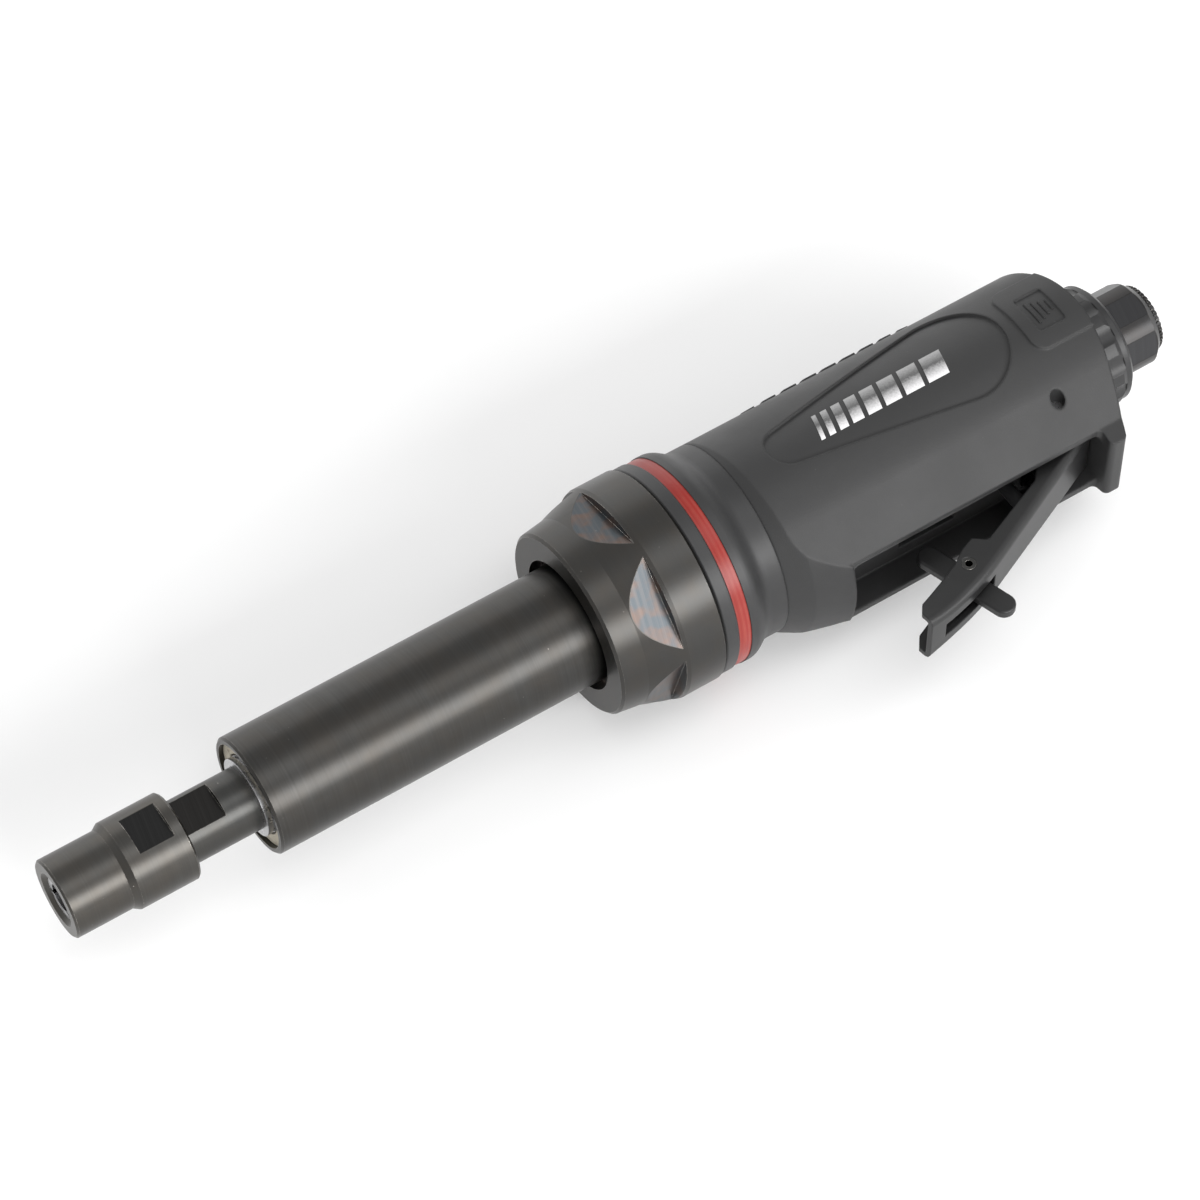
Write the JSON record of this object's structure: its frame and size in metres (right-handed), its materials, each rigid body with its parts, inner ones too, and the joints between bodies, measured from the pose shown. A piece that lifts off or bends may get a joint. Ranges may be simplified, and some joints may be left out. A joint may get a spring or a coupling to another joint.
{
  "type": "air die grinder",
  "caption": "Long-reach straight air die grinder with a collet spindle, a slim extension tube, a clamp nut, a keeled plastic handle and a hinged throttle lever with a safety latch.",
  "frame": {"origin": "on the spindle's axis, at the front face of the collet nut", "axes": "+X runs back along the spindle to the air inlet, the throttle lever hangs towards -Y, and +Z is the side that faces up when the tool lies on its side"},
  "size_m": [0.2637, 0.0709, 0.0478],
  "materials": {
    "bright_steel": "ground bearing and pin steel",
    "black_oxide_steel": "turned and blackened, worn bright at the edges",
    "gloss_black_sleeve": "gloss black coating",
    "gloss_black_steel": "polished and blackened",
    "gloss_black_paint": "gloss black powder coat",
    "charcoal_plastic": "fine spark-eroded grain",
    "gloss_black_plastic": "moulded, semi-gloss",
    "soft_black_rubber": "matt",
    "red_plastic": "satin, lightly scuffed",
    "cream_felt": "oiled felt",
    "grey_felt": "pressed felt",
    "brass": "turned",
    "aluminium": "machined",
    "cast_steel": "ground faces",
    "phenolic_resin": "laminated"
  },
  "bodies": {
    "body": {"extension_tube": "black_oxide_steel", "felt_seal": "cream_felt", "seal_washer": "bright_steel", "spindle_outer_races": "bright_steel", "bearing_spacer": "bright_steel", "bearing_distance_sleeve": "bright_steel", "preload_washer": "bright_steel", "clamp_nut": "black_oxide_steel", "spacer_ring": "soft_black_rubber", "colour_band": "red_plastic", "front_collar": "soft_black_rubber", "motor_housing": "gloss_black_sleeve", "front_end_plate": "cast_steel", "rear_end_plate": "cast_steel", "locating_dowel": "bright_steel", "cylinder_liner": "cast_steel", "motor_outer_races": "bright_steel", "motor_gasket": "soft_black_rubber", "valve_body": "aluminium", "valve_bushing": "brass", "valve_spring": "bright_steel", "handle_housing": "charcoal_plastic", "grip_inlay": "soft_black_rubber", "lever_pivot_pin": "bright_steel", "trim_ring": "bright_steel", "exhaust_silencer": "grey_felt", "inlet_bushing": "black_oxide_steel", "inlet_screen": "brass"},
    "rotating_group": {"spindle": "black_oxide_steel", "collet": "bright_steel", "oil_slinger": "bright_steel", "spindle_inner_races": "bright_steel", "spindle_balls": "bright_steel", "drive_coupling": "bright_steel", "rotor": "bright_steel", "rotor_blades": "phenolic_resin", "motor_inner_races": "bright_steel", "motor_balls": "bright_steel"},
    "collet_nut": {"collet_nut": "black_oxide_steel"},
    "lever": {"throttle_lever": "gloss_black_paint", "latch_pin": "bright_steel", "latch_spring": "bright_steel"},
    "latch": {"safety_latch": "gloss_black_paint"},
    "stem": {"valve_stem": "gloss_black_steel", "valve_seal": "soft_black_rubber"},
    "regulator": {"regulator_ring": "gloss_black_plastic"}
  },
  "joints": [
    {"name": "spindle_spin", "type": "hinge", "parent": "body", "child": "rotating_group", "pos_m": [0, 0, 0], "axis": [1, 0, 0], "continuous": true},
    {"name": "collet_nut_turn", "type": "hinge", "parent": "rotating_group", "child": "collet_nut", "pos_m": [0, 0, 0], "axis": [1, 0, 0], "range_deg": [0, 180]},
    {"name": "throttle_press", "type": "hinge", "parent": "body", "child": "lever", "pos_m": [0.2274, -0.017, 0], "axis": [0, 0, -1], "range_deg": [0, 15.5], "stiffness_Nm_per_rad": 0.5, "springref_deg": -17.19},
    {"name": "latch_swing", "type": "hinge", "parent": "lever", "child": "latch", "pos_m": [0.19262, -0.03532, 0], "axis": [0, 0, -1], "range_deg": [0, 52], "deforming": ["latch_spring"]},
    {"name": "stem_slide", "type": "slide", "parent": "body", "child": "stem", "axis": [0, 1, 0], "range_m": [0, 0.0047], "deforming": ["valve_spring"]},
    {"name": "regulator_turn", "type": "hinge", "parent": "body", "child": "regulator", "pos_m": [0, 0, 0], "axis": [1, 0, 0], "range_deg": [0, 90]}
  ],
  "couplings": [
    {"joint": "latch_swing", "follows": "throttle_press", "ratio": 3.354},
    {"joint": "stem_slide", "follows": "throttle_press", "m_per_rad": 0.017337}
  ]
}
